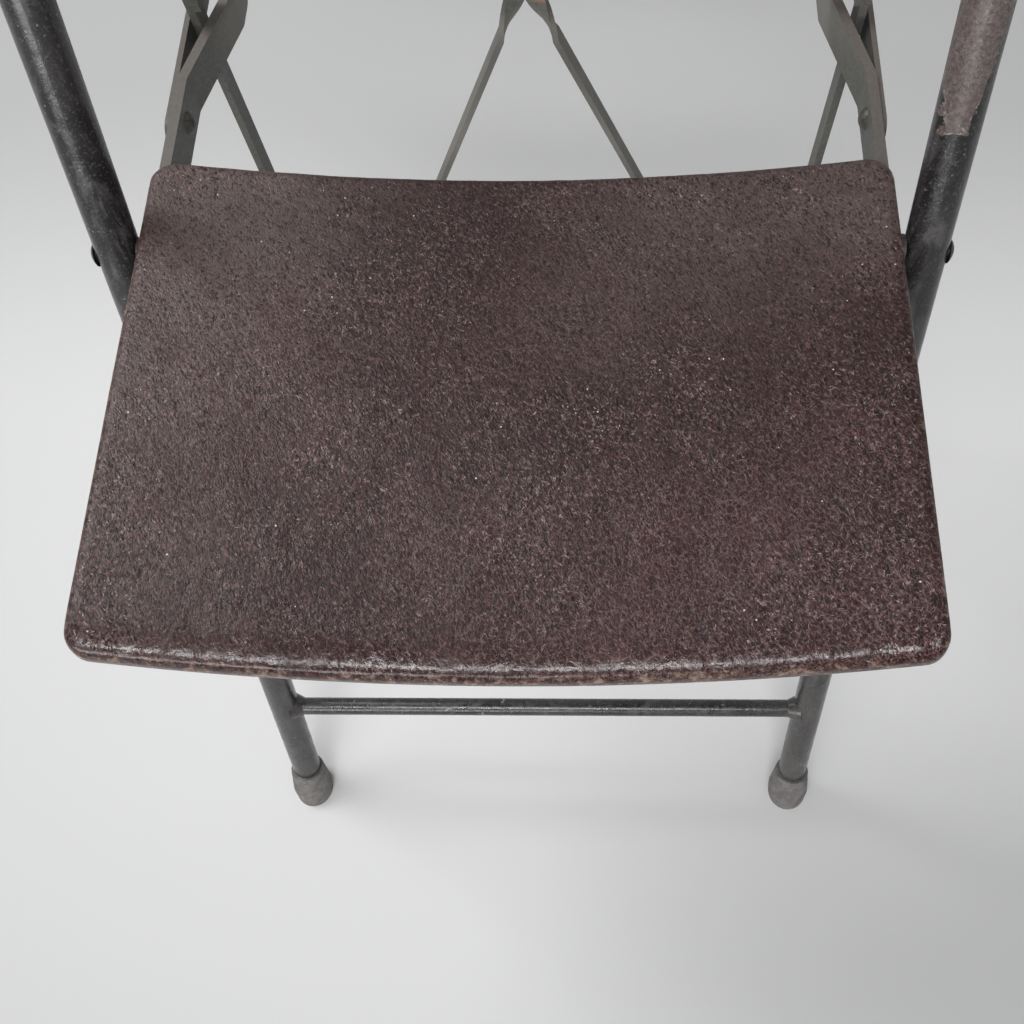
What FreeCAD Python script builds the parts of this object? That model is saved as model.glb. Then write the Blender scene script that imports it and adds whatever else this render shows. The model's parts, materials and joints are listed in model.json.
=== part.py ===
"""Folding chair: a bent tube frame, a dished seat on forked rails and a hinged rear frame.

Millimetres and degrees. +Z is up, +X is the sitter's left and the viewer's right, and the front of
the chair faces -Y. The origin lies on the floor, under the middle of the chair.
"""
import FreeCAD, Part
import math
import os

import Sketcher

from FreeCAD import Placement, Rotation, Vector

os.makedirs("parts", exist_ok=True)
doc = FreeCAD.newDocument("folding_chair")
sheet = doc.addObject("Spreadsheet::Sheet", "dims")

# Driving dimensions

DRIVING = (
    # bent tube of the front frame
    ("origin_setback", 158.27),
    ("tube_spacing", 364),
    ("tube_diameter", 20),
    ("tube_wall", 1.5),
    ("tube_lean_angle", 21),
    ("top_bend_radius", 60),
    ("head_room", 5),
    ("stretcher_rise", 110.6),
    ("stretcher_diameter", 12),
    ("weld_leg", 4),
    # rubber caps
    ("cap_floor", 8),
    ("cap_height", 30),
    ("cap_belly_wall", 4.6),
    ("cap_rim_wall", 2),
    ("cap_sole_wall", 3.4),
    ("boot_wall", 3.6),
    ("boot_height", 26),
    ("boot_floor", 5),
    ("boot_round", 3),
    # seat, measured from its pivot
    ("seat_pivot_rise", 471.3),
    ("seat_tilt_angle", 2),
    ("seat_overhang", 1),
    ("seat_front", 195),
    ("seat_bow", 6),
    ("seat_rear", 41),
    ("seat_dish", 14),
    ("seat_edge_height", 6.3),
    ("seat_thickness", 9.2),
    ("seat_rear_corner", 12),
    ("seat_front_corner", 9),
    ("seat_edge_round", 4.1),
    ("cover_thickness", 4.4),
    # seat rails and forks
    ("rail_clearance", 3),
    ("rail_thickness", 5),
    ("rail_top", 4.6),
    ("rail_depth", 20.6),
    ("rail_setback", 13),
    ("rail_tail_length", 180),
    ("rail_end_round", 9),
    ("joggle_start", 100),
    ("joggle_length", 58),
    ("joggle_offset", 15),
    ("joggle_round", 10),
    ("cheek_thickness", 2.7),
    ("cheek_depth", 17),
    ("cheek_front", 68),
    ("cheek_end_round", 8),
    # straps under the seat board
    ("strap_thickness", 3),
    ("strap_width", 24),
    ("strap_tab", 19),
    ("front_strap_setback", 45),
    ("rear_strap_setback", 17),
    ("board_screw_place", 52),
    # rear frame, measured down from its pivot
    ("leg_pivot_rise", 820),
    ("leg_lean_angle", 3.3),
    ("leg_gap", 5),
    ("leg_thickness", 4),
    ("leg_width", 12),
    ("crossbar_gap", 6.5),
    ("crossbar_width", 18),
    ("crossbar_thickness", 3),
    ("brace_thickness", 3.2),
    ("brace_width", 9.5),
    ("brace_foot_height", 41),
    ("brace_foot_length", 22),
    ("brace_apex_offset", 3.5),
    ("brace_twist_length", 26),
    ("brace_end", 9),
    ("brace_flat", 12),
    # backrest, measured along the tubes
    ("back_gap", 13),
    ("back_low_margin", 34),
    ("back_high_margin", 33),
    ("back_curve_radius", 760),
    ("back_thickness", 9.2),
    ("back_corner", 26),
    ("back_strap_width", 20),
    ("low_strap_drop", 78),
    ("high_strap_lift", 33),
    ("back_strap_lap", 8),
    ("back_screw_place", 84),
    ("lug_length", 16),
    ("lug_thickness", 3),
    ("lug_overlap", 1.5),
    # rivets, screws and clearances
    ("pivot_radius", 3),
    ("rivet_radius", 2.3),
    ("screw_radius", 1.8),
    ("running_clearance", 0.05),
    ("side_clearance", 0.3),
    ("pivot_head_radius", 6),
    ("pivot_head_height", 2.6),
    ("fork_head_radius", 5.4),
    ("fork_head_height", 3.4),
    ("rivet_head_radius", 3.6),
    ("rivet_head_height", 1.6),
    ("flush_head_height", 0.8),
    ("washer_radius", 7),
    ("spacer_radius", 4.3),
    ("fork_rivet_place", 82),
    ("overrun", 60),
    ("picking_margin", 1),
)

for row, (alias, value) in enumerate(DRIVING, start=1):
    sheet.set(f"A{row}", alias)
    sheet.set(f"B{row}", str(value))
    sheet.setAlias(f"B{row}", alias)
doc.recompute()


class Size:
    """A number that keeps the sheet expression it comes from, so that features can be bound to it."""

    def __init__(self, value, text):
        self.value = float(value)
        self.text = text

    def _join(self, other, sign, value):
        return Size(value, f"({self.text} {sign} {as_size(other).text})")

    def __add__(self, other):
        return self._join(other, "+", self.value + as_size(other).value)

    def __sub__(self, other):
        return self._join(other, "-", self.value - as_size(other).value)

    def __mul__(self, other):
        return self._join(other, "*", self.value * as_size(other).value)

    def __truediv__(self, other):
        return self._join(other, "/", self.value / as_size(other).value)

    def __neg__(self):
        return Size(-self.value, f"(0 - {self.text})")


def as_size(number):
    return number if isinstance(number, Size) else Size(number, repr(float(number)))


def root(size):
    return Size(math.sqrt(size.value), f"sqrt({size.text})")


def sine(angle):
    return Size(math.sin(math.radians(angle.value)), f"sin({angle.text} * 1 deg)")


def cosine(angle):
    return Size(math.cos(math.radians(angle.value)), f"cos({angle.text} * 1 deg)")


D = {alias: Size(sheet.get(alias), f"dims.{alias}") for alias, value in DRIVING}
NONE = Size(0, "0")

# Sizes that follow from the driving dimensions

tube_radius = D["tube_diameter"] / 2
tube_place = D["tube_spacing"] / 2
tube_inside = tube_place - tube_radius
stretcher_radius = D["stretcher_diameter"] / 2
cap_radius = tube_radius + D["cap_belly_wall"]
cap_rim_radius = tube_radius + D["cap_rim_wall"]
cap_sole_radius = tube_radius + D["cap_sole_wall"]

rail_outside = tube_inside - D["rail_clearance"]
rail_inside = rail_outside - D["rail_thickness"]
fork_inside = rail_inside - D["joggle_offset"]
cheek_outside = rail_outside + D["cheek_thickness"]
rail_bottom = D["rail_top"] - D["rail_depth"]
rail_middle = D["rail_top"] - D["rail_depth"] / 2
pivot_hole = D["pivot_radius"] + D["running_clearance"]

seat_half_width = rail_outside + D["seat_overhang"]
rail_front = D["seat_front"] - D["rail_setback"]
front_strap_place = D["seat_front"] - D["front_strap_setback"]
rear_strap_place = D["seat_rear"] - D["rear_strap_setback"]
dish_radius = (rail_outside * rail_outside + D["seat_dish"] * D["seat_dish"]) / (D["seat_dish"] * 2)
dish_centre = D["seat_edge_height"] - D["seat_dish"] + dish_radius
board_inset = D["cover_thickness"]
board_screw_tip = D["seat_dish"] - D["seat_edge_height"] - D["screw_radius"] * 2
board_thickness = D["seat_thickness"] - D["cover_thickness"]

leg_outside = tube_inside - D["leg_gap"]
leg_inside = leg_outside - D["leg_thickness"]
lug_reach = leg_inside - D["lug_overlap"]
leg_half = D["leg_width"] / 2
pivot_height = D["leg_pivot_rise"] * cosine(D["tube_lean_angle"])
leg_reach = pivot_height / cosine(D["leg_lean_angle"])
leg_spread = D["tube_lean_angle"] + D["leg_lean_angle"]
heel = (tube_radius - D["side_clearance"] - leg_half * cosine(leg_spread)) / sine(leg_spread)

# Where the rails pass the legs, and the crossbar over them

pivot_gap = (D["leg_pivot_rise"] - D["seat_pivot_rise"]) * cosine(D["tube_lean_angle"])
pivot_setback = (D["leg_pivot_rise"] - D["seat_pivot_rise"]) * sine(D["tube_lean_angle"])
fork_reach = pivot_setback + pivot_gap * sine(D["leg_lean_angle"]) / cosine(D["leg_lean_angle"])
rail_top_at_legs = (
    D["seat_pivot_rise"] * cosine(D["tube_lean_angle"])
    - fork_reach * sine(D["seat_tilt_angle"])
    + D["rail_top"]
)
crossbar_height = rail_top_at_legs + D["crossbar_gap"] + D["crossbar_width"] / 2
brace_apex_height = crossbar_height + D["brace_apex_offset"]

# The backrest, from the legs' pivot

low_strap_rise = D["leg_pivot_rise"] - D["low_strap_drop"]
high_strap_rise = D["leg_pivot_rise"] + D["high_strap_lift"]
frame_rise = high_strap_rise + D["top_bend_radius"] + D["head_room"]
back_low = low_strap_rise - D["back_low_margin"]
back_high = high_strap_rise + D["back_high_margin"]
back_half_width = tube_inside - D["back_gap"]
back_strap_reach = tube_place + D["back_strap_lap"]
back_rear_radius = D["back_curve_radius"] + D["strap_thickness"]
back_touch = back_rear_radius + tube_radius + D["side_clearance"] / 3
back_centre = -root(back_touch * back_touch - tube_place * tube_place)



class Frame:
    """A place in the chair that pieces are drawn in: a point on the tube axis and a lean about X."""

    def __init__(self, rise, lean):
        self.back = rise * sine(D["tube_lean_angle"]) - D["origin_setback"]
        self.height = rise * cosine(D["tube_lean_angle"])
        self.lean = lean

    def carry(self, piece):
        place = Vector(0, self.back.value, self.height.value)
        piece.Placement = Placement(place, Rotation(Vector(1, 0, 0), self.lean.value))
        piece.setExpression("Placement.Base.y", self.back.text)
        piece.setExpression("Placement.Base.z", self.height.text)
        piece.setExpression("Placement.Rotation.Angle", f"{self.lean.text} * 1 deg")


TUBES = Frame(NONE, -D["tube_lean_angle"])
SEAT = Frame(D["seat_pivot_rise"], -D["seat_tilt_angle"])
REAR = Frame(D["leg_pivot_rise"], D["leg_lean_angle"])

# Drawing helpers

sub_parts = {}


def keep(name, piece):
    """Make an object a sub-part: its label names its file."""
    piece.Label = name
    sub_parts[name] = piece
    return piece


def new_body(name, frame):
    body = doc.addObject("PartDesign::Body", name)
    frame.carry(body)
    return body


def sketch_on(body, plane, offset=(NONE, NONE, NONE)):
    """An empty sketch on one of the body's own planes, moved in the plane's own directions."""
    sketch = body.newObject("Sketcher::SketchObject", f"{body.Name}_sketch")
    support = [f for f in body.Origin.OriginFeatures if f.Role == plane][0]
    sketch.AttachmentSupport = [(support, "")]
    sketch.MapMode = "FlatFace"
    sketch.AttachmentOffset = Placement(Vector(*(size.value for size in offset)), Rotation())
    for axis, size in zip("xyz", offset):
        sketch.setExpression(f"AttachmentOffset.Base.{axis}", size.text)
    return sketch


def hold(sketch, kind, *where_and_size):
    """A dimension of a sketch, bound to the sheet."""
    *where, size = where_and_size
    index = sketch.addConstraint(Sketcher.Constraint(kind, *where, size.value))
    sketch.setExpression(f"Constraints[{index}]", size.text)


def draw_outline(sketch, points):
    """A closed outline. A point is (x, y) or (x, y, radius, turn): then the edge that leaves it is an
    arc of that radius, and turn is 1 where the outline runs round the arc's centre anticlockwise."""
    start = sketch.GeometryCount
    count = len(points)
    ends = []
    for i, point in enumerate(points):
        a = Vector(point[0].value, point[1].value, 0)
        nxt = points[(i + 1) % count]
        b = Vector(nxt[0].value, nxt[1].value, 0)
        if len(point) == 2:
            sketch.addGeometry(Part.LineSegment(a, b))
            ends.append((1, 2))
            continue
        radius, turn = point[2].value, point[3]
        half = (b - a).Length / 2
        left = Vector(-(b - a).y, (b - a).x, 0).normalize()
        centre = (a + b) / 2 + left * (turn * math.sqrt(max(radius**2 - half**2, 0)))
        first, last = (a, b) if turn > 0 else (b, a)
        begin = math.atan2(first.y - centre.y, first.x - centre.x)
        finish = math.atan2(last.y - centre.y, last.x - centre.x)
        circle = Part.Circle(centre, Vector(0, 0, 1), radius)
        sketch.addGeometry(Part.ArcOfCircle(circle, begin, finish if finish > begin else finish + math.tau))
        ends.append((1, 2) if turn > 0 else (2, 1))
    for i, point in enumerate(points):
        here = start + i
        before = start + (i - 1) % count
        sketch.addConstraint(
            Sketcher.Constraint("Coincident", before, ends[(i - 1) % count][1], here, ends[i][0])
        )
        hold(sketch, "DistanceX", -1, 1, here, ends[i][0], point[0])
        hold(sketch, "DistanceY", -1, 1, here, ends[i][0], point[1])
        if len(point) > 2:
            hold(sketch, "Radius", here, point[2])


def draw_circles(sketch, circles):
    """Circles given as (x, y, radius)."""
    for x, y, radius in circles:
        centre = Vector(x.value, y.value, 0)
        index = sketch.addGeometry(Part.Circle(centre, Vector(0, 0, 1), radius.value))
        hold(sketch, "DistanceX", -1, 1, index, 3, x)
        hold(sketch, "DistanceY", -1, 1, index, 3, y)
        hold(sketch, "Radius", index, radius)


def pad(body, sketch, length, both_ways=False, reverse=False):
    feature = body.newObject("PartDesign::Pad", f"{body.Name}_pad")
    feature.Profile = sketch
    feature.SideType = "Symmetric" if both_ways else "One side"
    feature.Reversed = reverse
    feature.Length = length.value
    feature.setExpression("Length", length.text)
    return feature


def pocket(body, sketch, length, both_ways=True, reverse=False):
    feature = body.newObject("PartDesign::Pocket", f"{body.Name}_pocket")
    feature.Profile = sketch
    feature.SideType = "Symmetric" if both_ways else "One side"
    feature.Reversed = reverse
    feature.Length = length.value
    feature.setExpression("Length", length.text)
    return feature


def revolve(body, sketch, axis):
    feature = body.newObject("PartDesign::Revolution", f"{body.Name}_turn")
    feature.Profile = sketch
    feature.ReferenceAxis = (sketch, [axis])
    feature.Angle = 360
    return feature


def drill(body, plane, holes, offset=(NONE, NONE, NONE), length=None):
    """Round holes through the body, square to a plane."""
    sketch = sketch_on(body, plane, offset)
    draw_circles(sketch, holes)
    return pocket(body, sketch, length or D["tube_spacing"] * 2 + D["overrun"])


def edge_numbers(shape, test):
    return [number for number, edge in enumerate(shape.Edges, start=1) if test(edge)]


def round_edges(body, radius, test):
    """Fillet the edges of the body's tip that pass a test."""
    doc.recompute()
    before = body.Tip
    names = [f"Edge{number}" for number in edge_numbers(before.Shape, test)]
    feature = body.newObject("PartDesign::Fillet", f"{body.Name}_round")
    feature.Base = (before, names)
    feature.Radius = radius.value
    feature.setExpression("Radius", radius.text)
    return feature


def mirrored(name, source):
    """The same piece on the other side of the chair."""
    twin = doc.addObject("Part::Mirroring", name)
    twin.Source = source
    twin.Base = Vector(0, 0, 0)
    twin.Normal = Vector(1, 0, 0)
    return twin


def keep_both(name, source):
    """A piece on the right and its mirror image on the left, each a node."""
    keep(f"{name}_right", source)
    keep(f"{name}_left", mirrored(f"{name}_left", source))


def keep_group(name, *pieces):
    group = doc.addObject("Part::Compound", name)
    group.Links = list(pieces)
    return keep(name, group)


def keep_pair(name, *pieces):
    """Fasteners on the right and their mirror images on the left, as one node."""
    twins = [mirrored(f"{name}_{i}", piece) for i, piece in enumerate(pieces)]
    return keep_group(name, *pieces, *twins)


def dome(radius, height):
    """Radius of the sphere that a head of this radius and height is cut from."""
    return (radius * radius + height * height) / (height * 2)


def head_points(end, radius, head, away):
    """Outline of one end of a rivet, from its shank to its axis: a domed head, or none."""
    if head is None:
        return [(end, radius), (end, NONE)]
    tip = end + head[1] if away > 0 else end - head[1]
    return [(end, radius), (end, head[0]), (tip, NONE)]


def rivet(name, frame, stem, inner, outer, back=NONE, rise=NONE, axis="x", side=NONE):
    """A rivet about X or Y: stem is (radius, start, end), inner and outer are (radius, height) of heads."""
    body = new_body(name, frame)
    radius, start, end = stem
    place = (NONE, back, rise) if axis == "x" else (side, NONE, rise)
    sketch = sketch_on(body, "XY_Plane", place)
    low = head_points(start, radius, inner, -1)[::-1]
    high = head_points(end, radius, outer, 1)
    turn = -1 if axis == "x" else 1
    points = []
    for part, head, arc_at in ((low, inner, 0), (high, outer, 1)):
        for i, (along, away) in enumerate(part):
            spot = (along, away) if axis == "x" else (away, along)
            points.append((*spot, dome(*head), turn) if head and i == arc_at else spot)
    draw_outline(sketch, points)
    revolve(body, sketch, "H_Axis" if axis == "x" else "V_Axis")
    return body


PIVOT_HEAD = (D["pivot_head_radius"], D["pivot_head_height"])
FORK_HEAD = (D["fork_head_radius"], D["fork_head_height"])
SMALL_HEAD = (D["rivet_head_radius"], D["rivet_head_height"])
FLUSH_HEAD = (D["rivet_head_radius"], D["flush_head_height"])

# Front frame: bent tube, stretcher and welds


def frame_tube():
    body = new_body("frame_tube_body", TUBES)
    path = sketch_on(body, "XZ_Plane")
    low, high = D["cap_floor"], frame_rise
    bend = D["top_bend_radius"]
    corners = (
        (-tube_place, low),
        (-tube_place, high - bend),
        (-tube_place + bend, high),
        (tube_place - bend, high),
        (tube_place, high - bend),
        (tube_place, low),
    )
    spots = [Vector(x.value, y.value, 0) for x, y in corners]
    centres = {1: spots[1] + Vector(bend.value, 0, 0), 3: spots[4] - Vector(bend.value, 0, 0)}
    quarter = math.pi / 2
    begins = {1: quarter, 3: 0}
    for i in range(5):
        if i in centres:
            circle = Part.Circle(centres[i], Vector(0, 0, 1), bend.value)
            path.addGeometry(Part.ArcOfCircle(circle, begins[i], begins[i] + quarter))
        else:
            path.addGeometry(Part.LineSegment(spots[i], spots[i + 1]))
    ends = [(2, 1) if i in centres else (1, 2) for i in range(5)]
    for i in range(4):
        path.addConstraint(Sketcher.Constraint("Coincident", i, ends[i][1], i + 1, ends[i + 1][0]))
    for i, (x, y) in enumerate(corners[:5]):
        hold(path, "DistanceX", -1, 1, i, ends[i][0], x)
        hold(path, "DistanceY", -1, 1, i, ends[i][0], y)
    hold(path, "DistanceX", -1, 1, 4, 2, corners[5][0])
    hold(path, "DistanceY", -1, 1, 4, 2, corners[5][1])
    hold(path, "Radius", 1, bend)
    hold(path, "Radius", 3, bend)
    section = sketch_on(body, "XY_Plane", (NONE, NONE, low))
    draw_circles(
        section,
        ((-tube_place, NONE, tube_radius), (-tube_place, NONE, tube_radius - D["tube_wall"])),
    )
    pipe = body.newObject("PartDesign::AdditivePipe", "frame_tube_pipe")
    pipe.Profile = section
    pipe.Spine = (path, ["Edge1", "Edge2", "Edge3", "Edge4", "Edge5"])
    drill(
        body,
        "YZ_Plane",
        (
            (NONE, D["seat_pivot_rise"], D["pivot_radius"]),
            (NONE, D["leg_pivot_rise"], D["pivot_radius"]),
        ),
    )
    screws = [
        (side, rise, D["screw_radius"])
        for side in (-tube_place, tube_place)
        for rise in (low_strap_rise, high_strap_rise)
    ]
    drill(body, "XZ_Plane", screws, (NONE, NONE, tube_radius), D["tube_diameter"])
    keep("frame_tube", body)


def front_stretcher():
    body = new_body("front_stretcher_body", TUBES)
    section = sketch_on(body, "YZ_Plane")
    draw_circles(section, ((NONE, D["stretcher_rise"], stretcher_radius),))
    pad(body, section, D["tube_spacing"], both_ways=True)
    saddles = sketch_on(body, "XY_Plane")
    draw_circles(saddles, ((-tube_place, NONE, tube_radius), (tube_place, NONE, tube_radius)))
    pocket(body, saddles, frame_rise)
    keep("front_stretcher", body)


def stretcher_welds():
    body = new_body("stretcher_weld_body", TUBES)
    bead = sketch_on(body, "XY_Plane", (NONE, NONE, D["stretcher_rise"]))
    tip = tube_inside - D["weld_leg"]
    root_end = tube_inside + D["weld_leg"]
    top = stretcher_radius + D["weld_leg"]
    draw_outline(bead, ((tip, stretcher_radius), (root_end, stretcher_radius), (root_end, top)))
    revolve(body, bead, "H_Axis")
    saddle = sketch_on(body, "XY_Plane")
    draw_circles(saddle, ((tube_place, NONE, tube_radius),))
    pocket(body, saddle, frame_rise)
    keep_pair("stretcher_welds", body)


# Rubber caps on the four feet


def floor_block(name):
    """The space under the floor, which cuts the caps flat where they stand."""
    block = doc.addObject("Part::Box", name)
    wide = D["tube_spacing"] + D["overrun"] * 4
    for prop, size in (("Length", wide), ("Width", frame_rise * 2), ("Height", D["overrun"])):
        setattr(block, prop, size.value)
        block.setExpression(prop, size.text)
    corner = (-(wide / 2), -frame_rise, -D["overrun"])
    block.Placement.Base = Vector(*(size.value for size in corner))
    for axis, size in zip("xyz", corner):
        block.setExpression(f"Placement.Base.{axis}", size.text)
    return block


def cut_by_floor(name, body):
    cut = doc.addObject("Part::Cut", name)
    cut.Base = body
    cut.Tool = floor_block(f"{name}_floor")
    return cut


def front_caps():
    body = new_body("front_cap_body", TUBES)
    profile = sketch_on(body, "XZ_Plane", (tube_place, NONE, NONE))
    rim = cap_rim_radius
    belly_height = D["cap_floor"]
    below = -D["cap_floor"]
    draw_outline(
        profile,
        (
            (NONE, below),
            (cap_sole_radius, below),
            (cap_radius, belly_height),
            (rim, D["cap_height"]),
            (tube_radius, D["cap_height"]),
            (tube_radius, D["cap_floor"]),
            (NONE, D["cap_floor"]),
        ),
    )
    revolve(body, profile, "V_Axis")
    keep_both("front_foot_cap", cut_by_floor("front_foot_cap_right", body))


def rear_caps():
    body = new_body("rear_cap_body", REAR)
    plan = sketch_on(body, "XY_Plane", (NONE, NONE, -leg_reach - D["boot_floor"]))
    half_y = leg_half + D["boot_wall"]
    low_x = leg_inside - D["boot_wall"]
    high_x = leg_outside + D["boot_wall"]
    draw_outline(plan, ((low_x, -half_y), (high_x, -half_y), (high_x, half_y), (low_x, half_y)))
    pad(body, plan, D["boot_height"] + D["boot_floor"])
    round_edges(body, D["boot_round"], lambda e: abs(e.tangentAt(e.FirstParameter).z) > 0.9)
    seat = sketch_on(body, "XY_Plane", (NONE, NONE, D["boot_floor"] - leg_reach))
    draw_outline(
        seat,
        (
            (leg_inside, -leg_half),
            (leg_outside, -leg_half),
            (leg_outside, leg_half),
            (leg_inside, leg_half),
        ),
    )
    pocket(body, seat, D["boot_height"], both_ways=False, reverse=True)
    keep_both("rear_foot_cap", cut_by_floor("rear_foot_cap_right", body))


# Seat rails and forks


def seat_rails():
    body = new_body("seat_rail_body", SEAT)
    plan = sketch_on(body, "XY_Plane", (NONE, NONE, rail_bottom))
    bend_1 = D["joggle_start"]
    bend_2 = bend_1 + D["joggle_length"]
    offset = D["joggle_offset"]
    front, rear = -rail_front, D["rail_tail_length"]
    draw_outline(
        plan,
        (
            (rail_inside, front),
            (rail_outside, front),
            (rail_outside, bend_1),
            (rail_outside - offset, bend_2),
            (rail_outside - offset, rear),
            (fork_inside, rear),
            (fork_inside, bend_2),
            (rail_inside, bend_1),
        ),
    )
    pad(body, plan, D["rail_depth"])
    margin = D["picking_margin"].value

    def at_bend(edge):
        upright = abs(edge.tangentAt(edge.FirstParameter).z) > 0.9
        y = edge.CenterOfMass.y
        return upright and bend_1.value - margin < y < bend_2.value + margin

    round_edges(body, D["joggle_round"], at_bend)

    def at_end(edge):
        level = abs(edge.tangentAt(edge.FirstParameter).x) > 0.9
        y = edge.CenterOfMass.y
        return level and (y < front.value + margin or y > rear.value - margin)

    round_edges(body, D["rail_end_round"], at_end)
    rivet_place = rail_middle
    drill(
        body,
        "YZ_Plane",
        (
            (NONE, NONE, pivot_hole),
            (D["fork_rivet_place"], rivet_place, D["rivet_radius"]),
            (-front_strap_place, rivet_place, D["screw_radius"]),
            (rear_strap_place, rivet_place, D["screw_radius"]),
        ),
    )
    keep_both("seat_rail", body)


def fork_cheeks():
    body = new_body("fork_cheek_body", SEAT)
    low = rail_middle - D["cheek_depth"] / 2
    high = rail_middle + D["cheek_depth"] / 2
    plan = sketch_on(body, "YZ_Plane", (NONE, NONE, rail_outside))
    front, rear = D["cheek_front"], D["rail_tail_length"]
    draw_outline(plan, ((front, low), (rear, low), (rear, high), (front, high)))
    pad(body, plan, D["cheek_thickness"])
    round_edges(body, D["cheek_end_round"], lambda e: abs(e.tangentAt(e.FirstParameter).x) > 0.9)
    drill(body, "YZ_Plane", ((D["fork_rivet_place"], rail_middle, D["rivet_radius"]),))
    keep_both("fork_cheek", body)
    stem = (D["rivet_radius"], rail_inside, cheek_outside)
    keep_pair(
        "fork_rivets",
        rivet("fork_rivet", SEAT, stem, FORK_HEAD, FLUSH_HEAD, D["fork_rivet_place"], rail_middle),
    )


# Seat board, cover and the straps that carry them


def dished_strip(name, frame, low_radius, high_radius, half_width, length, offset):
    """A strip bent to the seat's dish: low_radius is its underside and high_radius its upper side."""
    body = new_body(name, frame)
    section = sketch_on(body, "XZ_Plane", (NONE, NONE, offset))
    low = dish_centre - root(low_radius * low_radius - half_width * half_width)
    high = dish_centre - root(high_radius * high_radius - half_width * half_width)
    draw_outline(
        section,
        (
            (-half_width, low, low_radius, 1),
            (half_width, low),
            (half_width, high, high_radius, -1),
            (-half_width, high),
        ),
    )
    pad(body, section, length, both_ways=True)
    return body


def seat_form(name, inset, high_radius):
    """The dished panel inside the seat's outline, drawn in by an inset."""
    half = seat_half_width - inset
    front = inset - D["seat_front"]
    rear = D["seat_rear"] - inset
    bow = D["seat_bow"]
    strip = dished_strip(
        f"{name}_strip", SEAT, dish_radius, high_radius, seat_half_width + D["overrun"],
        D["seat_front"] * 4, NONE,
    )
    plan_body = new_body(f"{name}_plan", SEAT)
    plan = sketch_on(plan_body, "XY_Plane")
    draw_outline(
        plan,
        ((-half, front, dome(half, bow), 1), (half, front), (half, rear), (-half, rear)),
    )
    pad(plan_body, plan, D["overrun"] * 2, both_ways=True)
    rear_round = D["seat_rear_corner"] - inset
    front_round = D["seat_front_corner"] - inset

    def corner(at_rear):
        def test(edge):
            upright = abs(edge.tangentAt(edge.FirstParameter).z) > 0.9
            return upright and (edge.CenterOfMass.y > 0) == at_rear

        return test

    round_edges(plan_body, rear_round, corner(True))
    round_edges(plan_body, front_round, corner(False))
    form = doc.addObject("Part::Common", f"{name}_form")
    form.Base = strip
    form.Tool = plan_body
    return form


SEAT_UP = Rotation(Vector(1, 0, 0), -D["seat_tilt_angle"].value).multVec(Vector(0, 0, 1))
BACK_THROUGH = Rotation(Vector(1, 0, 0), -D["tube_lean_angle"].value).multVec(Vector(0, 1, 0))


def soft_cover(name, outer, board_form, through):
    """A cover with rounded rims and the board's space cut out. Through is the way across the panel."""
    doc.recompute()
    radius = D["seat_edge_round"].value
    rim = edge_numbers(outer.Shape, lambda e: abs(e.tangentAt(e.FirstParameter).dot(through)) < 0.9)
    soft = doc.addObject("Part::Fillet", f"{name}_round")
    soft.Base = outer
    soft.Edges = [(number, radius, radius) for number in rim]
    shell = doc.addObject("Part::Cut", f"{name}_shell")
    shell.Base = soft
    shell.Tool = board_form
    return shell


def seat_panel():
    board_form = seat_form("seat_board", board_inset, dish_radius - board_thickness)
    board = doc.addObject("Part::Cut", "seat_board_drilled")
    board.Base = board_form
    screws = new_body("board_screw_holes", SEAT)
    holes = sketch_on(screws, "XY_Plane", (NONE, NONE, -board_screw_tip))
    draw_circles(
        holes,
        [
            (side, back, D["screw_radius"])
            for side in (-D["board_screw_place"], D["board_screw_place"])
            for back in (-front_strap_place, rear_strap_place)
        ],
    )
    pad(screws, holes, D["overrun"], reverse=True)
    board.Tool = screws
    keep("seat_board", board)
    outer = seat_form("seat_cover", NONE, dish_radius - D["seat_thickness"])
    keep("seat_cover", soft_cover("seat_cover", outer, board_form, SEAT_UP))


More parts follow.
